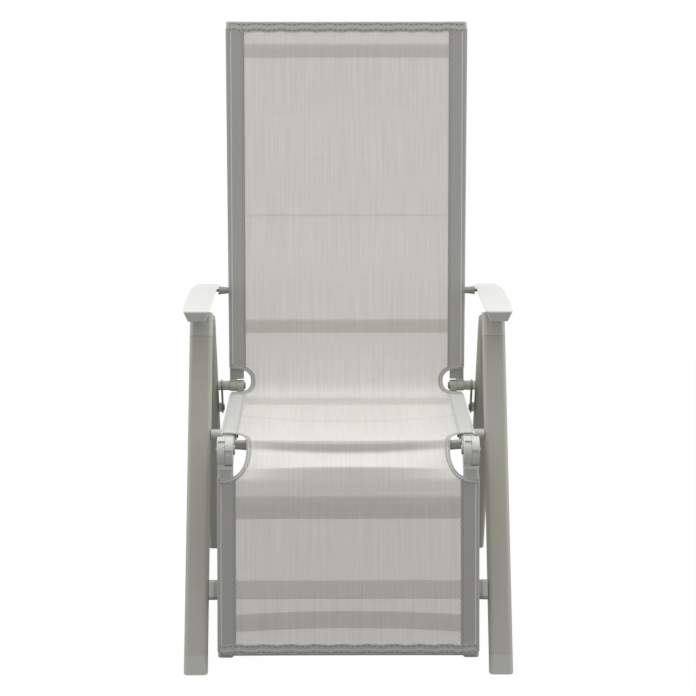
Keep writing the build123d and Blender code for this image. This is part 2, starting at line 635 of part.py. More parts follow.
# Backrest
flare = RAIL_FLARE / (BACK_LENGTH - BACK_RAIL_START)
back_rail_end = BACK_LENGTH - TOP_CAP_LENGTH


def flared(along):
    """The x of the back rail's centre this far above the hinge."""
    return RAIL_X + flare * (along - BACK_RAIL_START)


back_rail = run_bar(
    BACK, BACK_RAIL_START, back_rail_end, RAIL_X, RAIL_WIDTH, RAIL_DEPTH, RAIL_CORNER, TUBE_WALL,
    x_high=flared(back_rail_end),
)
save_sides("back_rail", back_rail - pin_hole)
hinge_cap = run_bar(
    BACK, BACK_CAP_START, BACK_RAIL_START - SEAT_GAP, RAIL_X, RAIL_WIDTH, RAIL_DEPTH, RAIL_CORNER
)
hinge_cap += rail_plug(BACK, BACK_RAIL_START - SEAT_GAP, BACK_RAIL_START + PLUG_LENGTH)
save("back_hinge_caps", both(hinge_cap))
top_cap = run_bar(
    BACK, back_rail_end + SEAT_GAP, BACK_LENGTH, flared(back_rail_end), RAIL_WIDTH, RAIL_DEPTH, RAIL_CORNER
)
top_cap = fillet(top_cap.faces().sort_by(Axis.Z)[-1].edges(), ARM_EDGE)
top_cap += rail_plug(
    BACK, back_rail_end - PLUG_LENGTH, back_rail_end + SEAT_GAP,
    flared(back_rail_end - PLUG_LENGTH), flared(back_rail_end),
)
save("back_top_caps", both(top_cap))
for name, along in (("back_lower_bar", BACK_BAR_LOW), ("back_upper_bar", BACK_BAR_HIGH)):
    span = flared(along - BACK_BAR_TALL / 2) - RAIL_WIDTH / 2 - SEAT_GAP
    save(name, cross_bar(BACK, along, 0, span, BACK_BAR_TALL, BAR_DEPTH, BAR_CORNER))
save("back_sling", sling(
    BACK, 1, BACK_SLING_START, BACK_LENGTH - SLING_HEM, BACK_SLING_NECK, 0.0
))


def inner_edge(along):
    """The x of the armrest's inner edge this far behind its nose."""
    return ARM_INNER_FRONT + ARM_INNER_SPREAD * along / ARM_LENGTH


# Backrest pins and the bolts that the armrests turn on
pin_rail_face = flared(PIN_RISE) + RAIL_WIDTH / 2 + SEAT_GAP * 2
draft = math.tan(math.radians(ARM_TAPER_ANGLE))
wall_x = inner_edge(ARM_PIN_ALONG)
pin_reach = wall_x + draft * (ARM_OVER_PIN - PIN_FLANGE) - PIN_PLAY
pin_neck_end = pin_reach - PIN_FLANGE_LENGTH
stub = cone(PIN_Y, PIN_Z, PIN_END_RADIUS, PIN_RADIUS, pin_rail_face, pin_neck_end)
stub += disc(PIN_Y, PIN_Z, PIN_FLANGE, pin_neck_end, pin_reach)
save("back_pins", both(stub - pin_hole))

# Armrests
arm_origin = (0, *ARM.at(0))
arm_plane = Plane(origin=arm_origin, x_dir=(1, 0, 0), z_dir=(0, -ARM.sin, ARM.cos))
ARM_OUTER = [
    (0.0, ARM_WIDTH_NOSE),
    (ARM_LEG_SHARE * ARM_LENGTH, ARM_WIDTH_LEG),
    (ARM_MIDDLE_SHARE * ARM_LENGTH, ARM_WIDTH_MIDDLE),
    (ARM_PIN_SHARE * ARM_LENGTH, ARM_WIDTH_PIN),
]


def arm_outline(inset, depth):
    """The armrest's outline seen from above, this far inside its edge, this far below its top."""
    shrink = inset + depth * draft
    inner_front = ARM_INNER_FRONT + shrink
    inner_rear = ARM_INNER_REAR + shrink
    outer = [(inner_edge(along) + width - shrink, along) for along, width in ARM_OUTER]
    start, end = inset + depth * draft, ARM_LENGTH - inset - depth * draft
    outer[0] = (outer[0][0], start)
    rear_outer = (ARM_INNER_REAR + ARM_WIDTH_REAR - shrink, end)
    edges = [
        Line((inner_front, start), (inner_rear, end)),
        Line((inner_rear, end), rear_outer),
        Spline(rear_outer, *reversed(outer)),
        Line(outer[0], (inner_front, start)),
    ]
    return make_face(Curve() + edges)


def arm_layer(inset, top, bottom):
    """The armrest's plan between two depths, narrowing downwards by its draft."""
    faces = [arm_plane.offset(-depth) * arm_outline(inset, depth) for depth in (top, bottom)]
    return loft(faces, ruled=True)


shell = arm_layer(0.0, 0.0, ARM_DEPTH)
top_face = shell.faces().sort_by(Axis.Z)[-1]
shell = fillet(top_face.edges(), ARM_EDGE)
hollow = arm_layer(ARM_WALL, ARM_WALL, ARM_DEPTH + CUT_PAST)
boss = disc(PIN_Y, PIN_Z, ARM_BOSS_RADIUS, wall_x, wall_x + ARM_WIDTH_PIN)
boss = boss & arm_layer(ARM_WALL / 2, ARM_WALL / 2, ARM_DEPTH)
armrest = (shell - hollow) + boss - pin_hole
bolt_end = wall_x + ARM_WIDTH_PIN - draft * ARM_OVER_PIN
slot_out = disc(PIN_Y, PIN_Z, ARM_HEAD_RADIUS + PEG_PLAY, bolt_end - ARM_WALL, 2 * LEG_INNER)
save_sides("armrest", armrest - slot_out)
arm_bolt = disc(PIN_Y, PIN_Z, ARM_BOLT_RADIUS, RAIL_INNER - SEAT_GAP, bolt_end - ARM_WALL + HINGE_GAP)
arm_bolt += dome(PIN_Y, PIN_Z, ARM_HEAD_RADIUS, ARM_WALL, bolt_end - ARM_WALL + HINGE_GAP, 1)
arm_bolt += dome(PIN_Y, PIN_Z, HEAD_RADIUS, HEAD_HEIGHT, RAIL_INNER - SEAT_GAP, -1)
save("armrest_bolts", both(arm_bolt))

# Notched racks on both sides of the tongue, above the peg
rack_low = PEG_RADIUS + PEG_PLAY
travel = slide_at(RECLINE_ANGLE)
line_front = (-travel - RACK_END, rack_low)
line_rear = (RACK_END, rack_low)
roof = -ARM_WALL - SEAT_GAP
roof_front = ARM.at(ARM.along(*SLIDE.at(*line_front)), roof)
roof_rear = ARM.at(ARM.along(*SLIDE.at(*line_rear)), roof)
rack_face = shape(SLIDE.at(*line_front), SLIDE.at(*line_rear), roof_rear, roof_front)
racks = []
rack_inner = TONGUE_WIDTH / 2 + PEG_PLAY
for low in (FRONT_LEG_X - rack_inner - RACK_WIDTH, FRONT_LEG_X + rack_inner):
    rack = side_slab(rack_face, low, low + RACK_WIDTH)
    for step in range(RECLINE_STEPS):
        degrees = RECLINE_ANGLE * step / (RECLINE_STEPS - 1)
        y, z = SLIDE.at(-slide_at(degrees), rack_low - NOTCH_SINK)
        rack -= disc(y, z, NOTCH_RADIUS, low - CUT_PAST, low + RACK_WIDTH + CUT_PAST)
    racks += both(rack)
save("armrest_racks", racks)

# Footrest
foot_rail_end = FOOT_LENGTH - FOOT_CAP_LENGTH
foot_rail = run_bar(
    FOOT, FOOT_RAIL_START, foot_rail_end, RAIL_X, RAIL_WIDTH, RAIL_DEPTH, RAIL_CORNER, TUBE_WALL
)
save_sides("footrest_rail", foot_rail)
ring = run_bar(
    FOOT, FOOT_RING_START, FOOT_RAIL_START - SEAT_GAP, RAIL_X, RAIL_WIDTH, RAIL_DEPTH, RAIL_CORNER
)
ring += rail_plug(FOOT, FOOT_RAIL_START - SEAT_GAP, FOOT_RAIL_START + PLUG_LENGTH)
save("footrest_rings", both(ring))
foot_end = run_bar(
    FOOT, foot_rail_end + SEAT_GAP, FOOT_LENGTH, RAIL_X, RAIL_WIDTH, RAIL_DEPTH, RAIL_CORNER
)
foot_end = fillet(foot_end.faces().sort_by(Axis.Z)[0].edges(), ARM_EDGE)
foot_end += rail_plug(FOOT, foot_rail_end - PLUG_LENGTH, foot_rail_end + SEAT_GAP)
save("footrest_end_caps", both(foot_end))
save(
    "footrest_upper_bar",
    cross_bar(FOOT, FOOT_BAR_HIGH, 0, inner_half, FOOT_BAR_TALL, BAR_DEPTH, BAR_CORNER),
)
save(
    "footrest_lower_bar",
    bowed_bar(FOOT, FOOT_BAR_LOW, 0, inner_half, -FOOT_BAR_BOW, FOOT_BAR_TALL, BAR_DEPTH, BAR_CORNER),
)
save("footrest_sling", sling(
    FOOT, -1, FOOT_SLING_START, FOOT_LENGTH - SLING_HEM, FOOT_SLING_NECK, 0.0
))

print("shift", round(CENTRE_Y, 3))
print("back hinge", [round(v - s, 3) for v, s in ((HINGE_Y, CENTRE_Y), (HINGE_Z, 0))])
print("pin", [round(v - s, 3) for v, s in ((PIN_Y, CENTRE_Y), (PIN_Z, 0))])
print("knuckle", [round(v - s, 3) for v, s in ((KNUCKLE_Y, CENTRE_Y), (KNUCKLE_Z, 0))])
print("peg", [round(v - s, 3) for v, s in ((PEG_Y, CENTRE_Y), (PEG_Z, 0))])
print("recline", RECLINE_ANGLE, "raise", FOOT_RAISE_ANGLE)
print("arm ratio", round(ARM_RATIO, 5), "travel", round(travel, 2))
print("arm tilt", round(arm_tilt(RECLINE_ANGLE), 2))
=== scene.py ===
"""Looks of a reclining garden armchair: the mesh sling and the finishes round the fixed frame."""
import json
import logging
import math
from dataclasses import dataclass, field
from enum import Enum
from functools import partial
from typing import Callable, Sequence

import bpy
from bpy.types import Attribute, Material, Mesh, Node, NodeSocket, Object, World
from mathutils import Matrix, Vector


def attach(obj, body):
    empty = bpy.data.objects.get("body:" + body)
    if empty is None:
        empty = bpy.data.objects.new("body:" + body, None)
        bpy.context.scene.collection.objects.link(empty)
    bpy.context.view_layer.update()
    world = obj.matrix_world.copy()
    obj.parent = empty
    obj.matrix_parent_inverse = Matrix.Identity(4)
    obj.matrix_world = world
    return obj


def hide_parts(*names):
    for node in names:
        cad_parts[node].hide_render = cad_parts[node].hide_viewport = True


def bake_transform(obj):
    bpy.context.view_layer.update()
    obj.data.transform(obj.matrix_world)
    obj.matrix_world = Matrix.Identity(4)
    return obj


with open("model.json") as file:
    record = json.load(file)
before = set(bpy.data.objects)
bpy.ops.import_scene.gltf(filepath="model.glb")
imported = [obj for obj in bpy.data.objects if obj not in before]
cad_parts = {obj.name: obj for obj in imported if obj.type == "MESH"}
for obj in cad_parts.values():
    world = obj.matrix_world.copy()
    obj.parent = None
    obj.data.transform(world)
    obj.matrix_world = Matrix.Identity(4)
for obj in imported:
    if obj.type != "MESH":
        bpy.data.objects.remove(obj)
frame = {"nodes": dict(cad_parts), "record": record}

LOG = logging.getLogger("garden_armchair")
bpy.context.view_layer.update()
MM: float = 0.001

# Two numbers, such as a point of the side view or a start and an end, and three or four
Pair = tuple[float, float]
Triple = tuple[float, float, float]
Quadruple = tuple[float, float, float, float]
# A function that adds a node to one material
Adder = Callable[..., Node]


class Body(str, Enum):
    """The bodies that the new pieces ride on."""

    FRAME = "frame"
    BACK = "backrest"
    FOOT = "footrest"


class Kind(str, Enum):
    """The kinds of shader node that the materials are made of."""

    ATTRIBUTE = "ShaderNodeAttribute"
    BUMP = "ShaderNodeBump"
    CHECKER = "ShaderNodeTexChecker"
    EMISSION = "ShaderNodeEmission"
    LIGHT_PATH = "ShaderNodeLightPath"
    MAPPING = "ShaderNodeMapping"
    MATH = "ShaderNodeMath"
    MIX = "ShaderNodeMix"
    MIX_SHADERS = "ShaderNodeMixShader"
    NOISE = "ShaderNodeTexNoise"
    PLACE = "ShaderNodeTexCoord"
    RANGE = "ShaderNodeMapRange"
    SPLIT = "ShaderNodeSeparateXYZ"
    UV = "ShaderNodeUVMap"
    VECTOR_MATH = "ShaderNodeVectorMath"
    VORONOI = "ShaderNodeTexVoronoi"


@dataclass(frozen=True)
class Run:
    """A straight run in the side view, in metres: its start and its direction."""

    y: float
    z: float
    degrees: float

    def at(self, along: float, off: float = 0.0) -> Pair:
        """The point this far along the run and this far to its left."""
        c, s = math.cos(math.radians(self.degrees)), math.sin(math.radians(self.degrees))
        return self.y + along * c - off * s, self.z + along * s + off * c


# The frame's origin lies this far behind the one in which the chair was fitted to the photograph.
SHIFT: float = 0.066008
# The middle lines of the rails. Seat and footrest start at the knuckle, the back at its hinge.
SEAT = Run(-0.207 - SHIFT, 0.393, -1.9)
FOOT = Run(-0.207 - SHIFT, 0.393, -101.3)
BACK = Run(0.2385 - SHIFT, 0.402221, 82.7)
# How far the rails lie from the chair's middle, and the cloth from a rail's middle line.
RAIL_X: float = 0.221
CLOTH_OFF: float = 0.0096
# What the cloth's material reads at each point, see MeshCloth.
CLOTH_MARKS: tuple[str, ...] = ("rim", "band", "seam", "pale")
# The width of a hem in the mark rim, and a distance that stands for nowhere near.
HEM_MM: float = 9.0
FAR_MM: float = 99.0


def linear(hex_colour: str) -> Quadruple:
    """Turns an sRGB hex colour to the linear values that shaders take.

    Args:
        hex_colour: six hex digits, with or without a leading hash.

    Returns:
        The linear red, green and blue, with alpha 1.
    """
    digits = hex_colour.lstrip("#")
    values = [int(digits[i:i + 2], 16) / 255 for i in (0, 2, 4)]
    lin = [v / 12.92 if v <= 0.04045 else ((v + 0.055) / 1.055) ** 2.4 for v in values]
    return lin[0], lin[1], lin[2], 1.0


def step_up(value: float, low: float, high: float) -> float:
    """A smooth step between two places.

    Args:
        value: the place in question.
        low: where the step starts.
        high: where it ends.

    Returns:
        The step's height, from 0 to 1.
    """
    t = min(1.0, max(0.0, (value - low) / (high - low)))
    return t * t * (3 - 2 * t)


def feed(node: Node, inputs: dict[str | int, object]) -> None:
    """Sets or links the inputs of a node.

    Args:
        node: the node.
        inputs: for each input's name or number its value, a hex colour, the output that feeds it,
            or a node, which stands for its first live output.
    """
    for key, value in inputs.items():
        if isinstance(value, Node):
            value = next(socket for socket in value.outputs if socket.enabled)
        if isinstance(value, NodeSocket):
            node.id_data.links.new(value, node.inputs[key])
        else:
            node.inputs[key].default_value = linear(value) if isinstance(value, str) else value


def add_node(owner: Material | World, kind: Kind, inputs: dict[str | int, object] | None = None,
             **settings: object) -> Node:
    """Adds one shader node with its settings and its inputs.

    Args:
        owner: the material or surround whose tree gets the node.
        kind: the kind of node.
        inputs: its inputs, as feed takes them.
        **settings: its own attributes, such as a math node's operation.

    Returns:
        The new node.
    """
    node = owner.node_tree.nodes.new(kind.value)
    for key, value in settings.items():
        setattr(node, key, value)
    feed(node, inputs or {})
    return node


def any_of(add: Adder, masks: Sequence[Node | NodeSocket]) -> Node:
    """Joins masks, so that a point counts where any of them covers it.

    Args:
        add: adds a node to the material that holds the masks.
        masks: the masks, with values from 0 to 1.

    Returns:
        The node that holds the greatest value.
    """
    joined, *rest = masks
    for mask in rest:
        joined = add(Kind.MATH, {0: joined, 1: mask}, operation="MAXIMUM")
    return joined


def blank_material(name: str) -> tuple[Material, Node, Adder]:
    """Makes a material that holds only its Principled shader and output.

    Args:
        name: the material's name.

    Returns:
        The material, its Principled node and a function that adds nodes to it.
    """
    material = bpy.data.materials.new(name)
    material.use_nodes = True
    for node in list(material.node_tree.nodes):
        if node.type not in ("BSDF_PRINCIPLED", "OUTPUT_MATERIAL"):
            material.node_tree.nodes.remove(node)
    shader = next(n for n in material.node_tree.nodes if n.type == "BSDF_PRINCIPLED")
    return material, shader, partial(add_node, material)


def tint_and_dull(add: Adder, shader: Node, pattern: Node, colours: tuple[str, str],
                  roughness: Pair) -> None:
    """Gives a finish two close colours and two roughnesses that follow one pattern.

    Args:
        add: adds a node to the finish's material.
        shader: the material's Principled node.
        pattern: the node that gives the pattern, from 0 to 1.
        colours: the hex colours at 0 and at 1.
        roughness: the roughness at 0 and at 1.
    """
    tint = add(Kind.MIX, {0: pattern, 6: colours[0], 7: colours[1]}, data_type="RGBA")
    dull = add(Kind.RANGE, {"Value": pattern, "To Min": roughness[0], "To Max": roughness[1]})
    feed(shader, {"Base Color": tint, "Roughness": dull})


@dataclass(frozen=True)
class HardFinish:
    """What the coat and the plastics share: two close colours in soft clouds and a fine relief."""

    name: str
    colour: str
    shade: str
    cloud_mm: float
    relief: Kind
    relief_mm: float
    relief_strength: float
    relief_depth: float
    roughness: Pair
    ior: float

    def build(self) -> Material:
        """Makes the finish's material.

        Returns:
            The material.
        """
        material, shader, add = blank_material(self.name)
        place = add(Kind.PLACE).outputs["Object"]
        cloud = add(Kind.NOISE,
                    {"Vector": place, "Scale": 1 / (self.cloud_mm * MM), "Detail": 3.0})
        tint_and_dull(add, shader, cloud, (self.shade, self.colour), self.roughness)
        relief = add(self.relief, {"Vector": place, "Scale": 1 / (self.relief_mm * MM)})
        bump = add(Kind.BUMP, {"Height": relief, "Strength": self.relief_strength,
                               "Distance": self.relief_depth})
        feed(shader, {"Normal": bump, "IOR": self.ior})
        return material


@dataclass(frozen=True)
class PowderCoat(HardFinish):
    """Polyester powder coat on aluminium, sprayed and baked.

    The eye sees a satin grey-beige with a faint orange peel, in clouds a little lighter and duller.
    """

    name: str = "powder_coat_greige"
    colour: str = "#b9b9ad"
    shade: str = "#aeaea2"
    cloud_mm: float = 90.0
    relief: Kind = Kind.NOISE
    relief_mm: float = 1.6
    relief_strength: float = 0.10
    relief_depth: float = 0.3 * MM
    roughness: Pair = (0.37, 0.50)
    ior: float = 1.5


@dataclass(frozen=True)
class MouldedPlastic(HardFinish):
    """Injection-moulded polyamide or polypropylene from a spark-eroded mould.

    The eye sees a matte plastic with soft clouds of colour. The mould's grain is drawn 0.9 mm wide,
    coarser than the real 0.2 mm or so, so that it shows.
    """

    cloud_mm: float = 40.0
    relief: Kind = Kind.VORONOI
    relief_mm: float = 0.9
    relief_strength: float = 0.12
    relief_depth: float = 0.2 * MM
    roughness: Pair = (0.44, 0.56)
    ior: float = 1.53


@dataclass(frozen=True)
class ZincedSteel:
    """Zinc-plated steel of the bolts, pins and plates, rolled or drawn before it was plated.

    The eye sees a dull grey metal with fine streaks across the chair. They are 17 mm long and 1.1
    mm wide, coarser than on a real drawn surface, so that they show.
    """

    name: str = "zinced_steel"
    colour: str = "#8f8f8a"
    shade: str = "#7b7b76"
    streaks_per_metre: Triple = (60.0, 900.0, 900.0)
    roughness: Pair = (0.34, 0.50)
    metallic: float = 0.85

    def build(self) -> Material:
        """Makes the steel's material.

        Returns:
            The material.
        """
        material, shader, add = blank_material(self.name)
        place = add(Kind.PLACE).outputs["Object"]
        stretch = add(Kind.MAPPING, {"Vector": place, "Scale": self.streaks_per_metre})
        streaks = add(Kind.NOISE, {"Vector": stretch, "Scale": 1.0, "Detail": 4.0})
        tint_and_dull(add, shader, streaks, (self.shade, self.colour), self.roughness)
        feed(shader, {"Metallic": self.metallic})
        return material


class Weave(str, Enum):
    """The two ways in which the mesh cloth shows."""

    PANEL = "one open layer with light behind it"
    SLEEVE = "doubled layer round a rail"


@dataclass(frozen=True)
class MeshCloth:
    """PVC-coated polyester mesh, woven one over one: satin threads with open pores between them.

    The eye sees a near-white cloth with long slubs, through which the bars behind it show, dark
    rows of stitches, and bands and hems where it is doubled, greyer by a painted shade. A light
    line along each hem and along each band's outer edge is a painted highlight. The threads are
    drawn 2.6 mm apart, coarser than the real 1.2 mm or so, so that they show. The cloth's own map
    is in metres, across and along. The marks rim, band and seam are millimetres from a hemmed edge,
    from the panel's outer edge on a rail and from a cross seam. The mark pale is 1 on the seat,
    whose bands face up into the light and are painted paler there: painted light.
    """

    name: str
    weave: Weave
    # Colours: the yarn, light and dark; rail bands and hems in painted shade, seat bands in painted
    # light
    colour: str = "#f4f2ec"
    shade: str = "#e4e2db"
    shaded_band_colour: str = "#b0afab"
    lit_band_colour: str = "#dededa"
    shaded_hem_colour: str = "#b7b6b1"
    # Painted highlights: a light line along each hem and along each band's outer edge
    hem_highlight_colour: str = "#cac9c4"
    band_edge_highlight_colour: str = "#d8d8d5"
    thread_colour: str = "#7e7e7a"
    # How much of the view the cloth covers: one layer, a seam, and what the pores add or take
    cover: float = 0.655
    seam_cover: float = 0.91
    pore: float = 0.07
    # The yarn: its spacing, contrast and relief, and the slubs' length by width, and contrast
    thread_mm: float = 2.6
    thread_share: float = 0.12
    thread_relief: float = 0.5
    relief_strength: float = 0.35
    relief_depth: float = 0.5 * MM
    slub_mm: float = 3.4
    warp_slub: Pair = (44.0, 0.70)
    weft_slub: Pair = (26.0, 0.22)
    slub_range: Pair = (0.3, 0.7)
    # The sewing: widths, places of the rows of stitches, and painted highlight lines as place and
    # half width
    band_mm: float = 28.5
    seam_mm: float = 2.3
    band_stitches_mm: tuple[float, ...] = (26.6, 23.8)
    hem_stitches_mm: tuple[float, ...] = (7.4, 2.2)
    stitch_half_mm: float = 0.45
    stitch_mm: float = 5.0
    stitch_gap: float = 0.25
    band_edge_highlight_mm: Pair = (1.6, 1.0)
    hem_highlight_mm: Pair = (4.6, 0.7)
    roughness: float = 0.5
    ior: float = 1.48

    def build(self) -> Material:
        """Makes the cloth's material.

        Returns:
            The material.
        """
        material, shader, add = blank_material(self.name)
        uv = add(Kind.UV, uv_map="cloth")
        weave = self.weave_height(add, uv)
        yarn = self.yarn(add, uv, weave)
        look, doubled, sewn = self.sewing(add, uv, yarn)
        height = add(Kind.MATH, {0: weave, 1: self.thread_relief, 2: doubled},
                     operation="MULTIPLY_ADD")
        dented = add(Kind.MATH, {0: height, 1: sewn}, operation="SUBTRACT")
        bump = add(Kind.BUMP, {"Height": dented, "Strength": self.relief_strength,
                               "Distance": self.relief_depth})
        feed(shader, {"Base Color": look, "Normal": bump, "Roughness": self.roughness,
                      "IOR": self.ior})
        if self.weave is Weave.PANEL:
            pores = add(Kind.RANGE,
                        {"Value": weave, "From Min": -1.0, "From Max": 1.0,
                         "To Min": self.cover - self.pore, "To Max": self.cover + self.pore})
            feed(shader, {"Alpha": any_of(add, (pores, doubled))})
        return material

    def weave_height(self, add: Adder, uv: Node) -> Node:
        """Adds the over-and-under height of the threads.

        Args:
            add: adds a node to the cloth's material.
            uv: the node that reads the cloth's own map.

        Returns:
            A node whose value runs from -1, between threads, to 1, on top of one.
        """
        parts = add(Kind.SPLIT, {0: uv})
        waves = []
        for name in ("X", "Y"):
            turn = add(Kind.MATH, {0: parts.outputs[name], 1: 2 * math.pi / (self.thread_mm * MM)},
                       operation="MULTIPLY")
            waves.append(add(Kind.MATH, {0: turn}, operation="SINE"))
        return add(Kind.MATH, {0: waves[0], 1: waves[1]}, operation="MULTIPLY")

    def yarn(self, add: Adder, uv: Node, weave: Node) -> Node:
        """Adds the colour of one layer, with long slubs in the warp and shorter ones in the weft.

        Args:
            add: adds a node to the cloth's material.
            uv: the node that reads the cloth's own map.
            weave: the height of the threads.

        Returns:
            The node that mixes the two yarn colours.
        """
        fine = 1 / (self.slub_mm * MM)
        (warp_long, warp_weight), (weft_long, weft_weight) = self.warp_slub, self.weft_slub
        shares = []
        for scale, weight in (((fine, fine / warp_long, 1.0), warp_weight),
                              ((fine / weft_long, fine, 1.0), weft_weight)):
            along = add(Kind.MAPPING, {"Vector": uv, "Scale": scale})
            streak = add(Kind.NOISE, {"Vector": along, "Scale": 1.0, "Detail": 2.0})
            shares.append(add(Kind.RANGE,
                              {"Value": streak, "To Min": -weight / 2, "To Max": weight / 2,
                               "From Min": self.slub_range[0], "From Max": self.slub_range[1]}))
        total = add(Kind.MATH, {0: shares[0], 1: shares[1]}, operation="ADD")
        threads = add(Kind.MATH, {0: weave, 1: self.thread_share, 2: 0.5},
                      operation="MULTIPLY_ADD")
        share = add(Kind.MATH, {0: total, 1: threads}, operation="ADD", use_clamp=True)
        return add(Kind.MIX, {0: share, 6: self.shade, 7: self.colour}, data_type="RGBA")

    def sewing(self, add: Adder, uv: Node, yarn: Node) -> tuple[Node, Node, Node]:
        """Adds the bands, hems and rows of stitches.

        Args:
            add: adds a node to the cloth's material.
            uv: the node that reads the cloth's own map.
            yarn: the node that holds the colour of one layer.

        Returns:
            The cloth's whole colour, the mask of the doubled cloth and the mask of the stitches.
        """
        marks = {name: add(Kind.ATTRIBUTE, attribute_name=name).outputs["Fac"]
                 for name in CLOTH_MARKS}
        on_band, on_hem, on_seam = (
            add(Kind.MATH, {0: marks[name], 1: width}, operation="LESS_THAN")
            for name, width in (("band", self.band_mm), ("rim", HEM_MM), ("seam", self.seam_mm)))
        joined = add(Kind.MATH, {0: on_seam, 1: self.seam_cover}, operation="MULTIPLY")
        doubled = any_of(add, (on_band, joined, on_hem))

        # Four rows of dark dashes and two painted highlight lines: the mark they follow, place and
        # half width
        lines = [("band", place, self.stitch_half_mm) for place in self.band_stitches_mm]
        lines += [("rim", place, self.stitch_half_mm) for place in self.hem_stitches_mm]
        lines += [("band", *self.band_edge_highlight_mm), ("rim", *self.hem_highlight_mm)]
        *rows, outer, hem_highlight = (
            add(Kind.MATH, {0: marks[name], 1: place, 2: half}, operation="COMPARE")
            for name, place, half in lines)
        dash = add(Kind.CHECKER,
                   {"Vector": uv, "Scale": 1 / (self.stitch_mm * MM), "Color1": (1, 1, 1, 1),
                    "Color2": (self.stitch_gap, self.stitch_gap, self.stitch_gap, 1)})
        sewn = add(Kind.MATH, {0: any_of(add, rows), 1: dash}, operation="MULTIPLY")

        # Painted shade on bands and hems, painted light on the seat's bands, then all over one
        # another
        band, hem = (add(Kind.MIX, {0: mask, 6: under, 7: over}, data_type="RGBA")
                     for mask, under, over in ((marks["pale"], self.shaded_band_colour, self.lit_band_colour),
                                               (hem_highlight, self.shaded_hem_colour, self.hem_highlight_colour)))
        look = yarn
        for mask, over in ((on_band, band), (outer, self.band_edge_highlight_colour), (on_hem, hem),
                           (sewn, self.thread_colour)):
            look = add(Kind.MIX, {0: mask, 6: look, 7: over}, data_type="RGBA")
        return look, doubled, sewn


def deselect() -> None:
    """Leaves object mode's selection empty."""
    if bpy.context.object and bpy.context.object.mode != "OBJECT":
        bpy.ops.object.mode_set(mode="OBJECT")
    bpy.ops.object.select_all(action="DESELECT")


def settle(obj: Object, name: str) -> Object:
    """Names a piece and puts its place into its mesh.

    Args:
        obj: the new piece.
        name: its name.

    Returns:
        The same piece.
    """
    obj.name = name
    obj.data.name = name
    obj.data.transform(obj.matrix_basis)
    obj.matrix_basis = Matrix.Identity(4)
    return obj


def round_long_edges(obj: Object, axis: int, offset: float, segments: int) -> None:
    """Bevels the edges of a block that run along one of its axes.

    Args:
        obj: the block.
        axis: 0, 1 or 2 for the axis that the edges follow.
        offset: how wide the bevel is, in metres.
        segments: how many faces round each edge.
    """
    deselect()
    bpy.context.view_layer.objects.active = obj
    obj.select_set(True)
    bpy.ops.object.mode_set(mode="EDIT")
    bpy.ops.mesh.select_mode(type="EDGE")
    bpy.ops.mesh.select_all(action="DESELECT")
    bpy.ops.object.mode_set(mode="OBJECT")
    for edge in obj.data.edges:
        low, high = (obj.data.vertices[i].co for i in edge.vertices)
        edge.select = abs((high - low).normalized()[axis]) > 0.99
    bpy.ops.object.mode_set(mode="EDIT")
    bpy.ops.mesh.bevel(offset=offset, segments=segments, affect="EDGES")
    bpy.ops.object.mode_set(mode="OBJECT")


def cloth_layers(mesh: Mesh) -> list[Attribute]:
    """Adds the marks that the cloth's material reads.

    Args:
        mesh: the cloth's mesh.

    Returns:
        The attributes, in the order of CLOTH_MARKS.
    """
    for name in CLOTH_MARKS:
        mesh.attributes.new(name, "FLOAT", "POINT")
    return [mesh.attributes[name] for name in CLOTH_MARKS]


def lay_map(mesh: Mesh, flat: Sequence[Pair]) -> None:
    """Gives a cloth its own map, in metres.

    Args:
        mesh: the cloth's mesh.
        flat: each point's place on the flat cloth.
    """
    uv = mesh.uv_layers.new(name="cloth")
    for loop in mesh.loops:
        uv.data[loop.index].uv = flat[loop.vertex_index]


def thicken(piece: Object, thickness: float, offset: float) -> None:
    """Turns a single layer of faces into a cloth with two sides.

    Args:
        piece: the laid cloth.
        thickness: how thick it gets, in metres.
        offset: 0 to grow to both sides, -1 to grow inwards.
    """
    bpy.context.view_layer.objects.active = piece
    solid = piece.modifiers.new("thickness", "SOLIDIFY")
    solid.thickness = thickness
    solid.offset = offset
    bpy.ops.object.modifier_apply(modifier="thickness")


